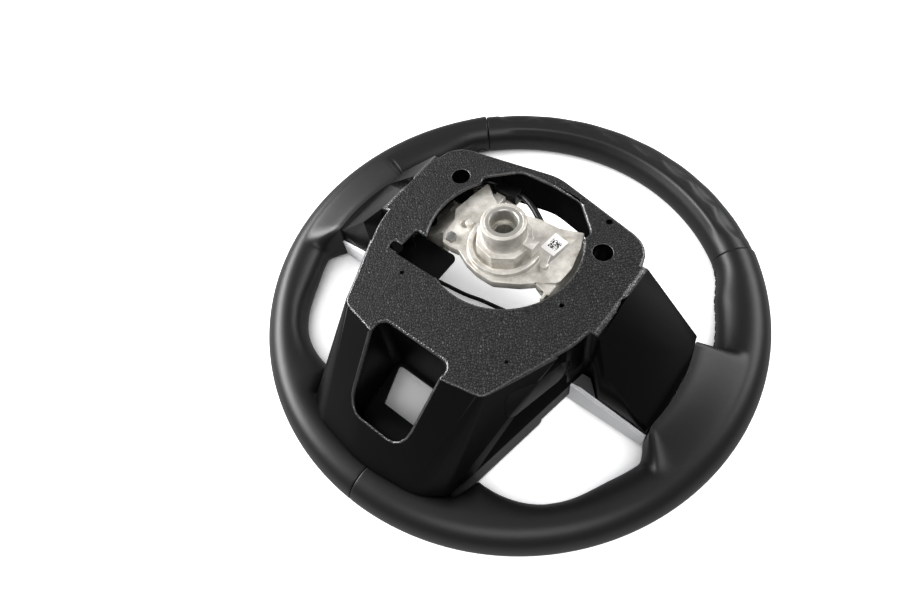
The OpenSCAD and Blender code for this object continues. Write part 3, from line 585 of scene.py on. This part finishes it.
def stitching(name, first, last, q_line, pitch=1.45):
    """Zigzag thread: each stitch is a short arc that rises out of the leather and dives back, laid
    alternately to either side of the seam. All stitches are one mesh, made together."""
    count = int((last - first) / pitch)
    centre = first + (np.arange(count) + 0.5) * pitch
    lean = np.where(np.arange(count) % 2, 1.0, -1.0)[:, None]
    t = np.linspace(-1, 1, 7)[None, :]
    angle = centre[:, None] + t * pitch * 0.46
    q = q_line + lean * t * 6.5
    sink = 0.5 * t ** 4 - 0.42
    path = section(angle, q, sink)
    along = np.gradient(path, axis=1)
    along /= np.linalg.norm(along, axis=2, keepdims=True)
    out = path - section(angle, q, sink + 1.0)
    out /= np.linalg.norm(out, axis=2, keepdims=True)
    side = np.cross(along, out)
    n = 6
    turn = np.arange(n) * 2 * np.pi / n
    rings = (path[:, :, None] + 0.42 * (side[:, :, None] * np.cos(turn)[:, None]
                                        + out[:, :, None] * np.sin(turn)[:, None]))
    one = grid_faces(7, n, 0, close_columns=True)
    quads = (one[None] + (np.arange(count) * 7 * n)[:, None, None]).reshape(-1, 4)
    caps = np.array([[0, 1, 2, 3], [0, 3, 4, 5]])
    caps = np.concatenate([caps, caps[:, ::-1] + 6 * n])
    caps = (caps[None] + (np.arange(count) * 7 * n)[:, None, None]).reshape(-1, 4)
    piece = mesh_object(name, rings.reshape(-1, 3), np.concatenate([quads, caps]))
    dress(piece, thread)
    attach(piece, "wheel")


stitching("stitches_upper_left", 19, SEAM_LEFT - 1, 190)
stitching("stitches_upper_right", SEAM_RIGHT + 1, 161, 190)


BEVELS = {
    "hub_insert": 0.35, "lead_bracket": 0.5, "side_plug_left": 0.25, "side_plug_right": 0.25,
    "spoke_bezel_left": 0.4, "spoke_bezel_right": 0.4, "spoke_trim_left": 0.3, "spoke_trim_right": 0.3,
    "lower_spoke_bezel": 0.8, "switch_housing_left": 0.8, "switch_housing_right": 0.8,
    "rocker_left": 0.9, "rocker_right": 0.9, "upper_button_left": 0.9, "upper_button_right": 0.9,
    "lower_button_left": 0.9, "lower_button_right": 0.9, "cover_screws": 0.3, "earth_screw": 0.4,
    "harness_plug": 0.5, "part_sticker": 0.05,
}
slots = {sub["node"]: sub["material_slot"] for sub in frame["record"]["subparts"]}
for node, size in BEVELS.items():
    form = copy_of_node(node + "_form", node, bevel=size, segments=3)
    dress(form, finishes["web_plastic" if "spoke_bezel" in node and "lower" not in node else slots[node]])


# Stage

def stage_plane(name, corners, made):
    """A flat sheet of the stage through four corners."""
    piece = mesh_object(name, np.array(corners) / MM, [[0, 1, 2, 3]], smooth=False)
    dress(piece, made)
    return piece


def floor_paint():
    """White studio paper: it glows just enough to the camera to be white, and still takes a shadow; where it
    is covered its glow fades as a painted shadow, and in reflections it is greyer and glows less, a painted
    dim reflection.
    """
    made, tree, shader, place = material("studio_paper", "f2f2f2", 0.9)
    ray = add(tree, "ShaderNodeLightPath")
    seen = add(tree, "ShaderNodeMath", {0: ray.outputs["Is Glossy Ray"], 2: ray.outputs["Is Camera Ray"]},
               operation="MULTIPLY_ADD", use_clamp=True)
    seen.inputs[1].default_value = 0.3
    shader.inputs["Specular IOR Level"].default_value = 0.0
    # In reflections the paper is a darker grey and its glow is weaker: a painted dim reflection of the floor
    paper = add(tree, "ShaderNodeMix", {"Factor": ray.outputs["Is Glossy Ray"]}, data_type="RGBA")
    paper.inputs["A"].default_value = linear("f2f2f2")
    paper.inputs["B"].default_value = linear("8c8c8c")
    tree.links.new(paper.outputs["Result"], shader.inputs["Base Color"])
    # The glow fades where the paper is covered by the wheel: a painted shadow under and inside it
    painted_shadow_cover = add(tree, "ShaderNodeAmbientOcclusion", Distance=0.12)
    painted_shadow_cover.samples = 8
    painted_shadow_glow = add(tree, "ShaderNodeMapRange", {"Value": painted_shadow_cover.outputs["AO"]},
                interpolation_type="SMOOTHSTEP")
    painted_shadow_glow.inputs["From Min"].default_value = 0.1
    painted_shadow_glow.inputs["From Max"].default_value = 0.45
    painted_shadow_glow.inputs["To Min"].default_value = 0.05
    painted_shadow_glow.inputs["To Max"].default_value = 0.8
    glow = add(tree, "ShaderNodeEmission", {"Strength": painted_shadow_glow.outputs["Result"]})
    dark = add(tree, "ShaderNodeEmission", Strength=0.0)
    choice = add(tree, "ShaderNodeMixShader", {"Fac": seen.outputs[0]})
    tree.links.new(dark.outputs[0], choice.inputs[1])
    tree.links.new(glow.outputs[0], choice.inputs[2])
    both = add(tree, "ShaderNodeAddShader")
    tree.links.new(shader.outputs[0], both.inputs[0])
    tree.links.new(choice.outputs[0], both.inputs[1])
    tree.links.new(both.outputs[0], tree.nodes["Material Output"].inputs["Surface"])
    return made


stage_plane("studio_floor", [(-3, -3, 0), (3, -3, 0), (3, 3, 0), (-3, 3, 0)], floor_paint())

scene = bpy.context.scene
scene.view_settings.view_transform = "Standard"

world = bpy.data.worlds.new("studio")
scene.world = world
world.use_nodes = True
background = world.node_tree.nodes["Background"]
ray = add(world.node_tree, "ShaderNodeLightPath")
sky = add(world.node_tree, "ShaderNodeMix", {"Factor": ray.outputs["Is Camera Ray"]}, data_type="RGBA")
mirrored = add(world.node_tree, "ShaderNodeMix", {"Factor": ray.outputs["Is Glossy Ray"]}, data_type="RGBA")
mirrored.inputs["A"].default_value = (0.43, 0.435, 0.445, 1)
mirrored.inputs["B"].default_value = (0.2, 0.203, 0.208, 1)
world.node_tree.links.new(mirrored.outputs["Result"], sky.inputs["A"])
sky.inputs["B"].default_value = (1, 1, 1, 1)
world.node_tree.links.new(sky.outputs["Result"], background.inputs["Color"])
background.inputs["Strength"].default_value = 1.0


def softbox(name, place, size, power):
    """A rectangular lamp of a given size and power, turned to the wheel."""
    aim = (0, 0, 0.03)
    lamp = bpy.data.lights.new(name, "AREA")
    lamp.shape = "RECTANGLE"
    lamp.size, lamp.size_y = size
    lamp.energy = power
    holder = bpy.data.objects.new(name, lamp)
    holder.location = place
    holder.rotation_euler = (Vector(aim) - Vector(place)).to_track_quat("-Z", "Y").to_euler()
    scene.collection.objects.link(holder)


softbox("lamp_left", (-0.92, -0.28, 0.64), (1.0, 0.34), 24)
softbox("lamp_front", (0.35, -0.45, 1.0), (0.8, 0.5), 4.5)
softbox("lamp_over_top", (0.35, 0.95, 0.85), (1.0, 0.5), 10)


# Camera: heading, tilt and roll in degrees, and the picture's own centre in pixels

PICTURE_W, PICTURE_H = 920, 613
FOCAL_PX = 640
AXIS_PX = (440, 300)
CAMERA_PLACE = (157.43, -196.55, 441.59)
HEADING = 140.458
TILT = 58.861
ROLL = -13.205

lens = bpy.data.cameras.new("camera")
lens.sensor_width = 36
lens.lens = FOCAL_PX / PICTURE_W * lens.sensor_width
lens.shift_x = (PICTURE_W / 2 - AXIS_PX[0]) / PICTURE_W
lens.shift_y = (AXIS_PX[1] - PICTURE_H / 2) / PICTURE_W
lens.clip_start = 0.01
camera = bpy.data.objects.new("camera", lens)
scene.collection.objects.link(camera)
scene.camera = camera
look = Matrix.Rotation(math.radians(HEADING - 90), 4, "Z") @ Matrix.Rotation(math.radians(90 - TILT), 4, "X")
camera.matrix_world = (Matrix.Translation(Vector(CAMERA_PLACE) * MM) @ look
                       @ Matrix.Rotation(math.radians(ROLL), 4, "Z"))
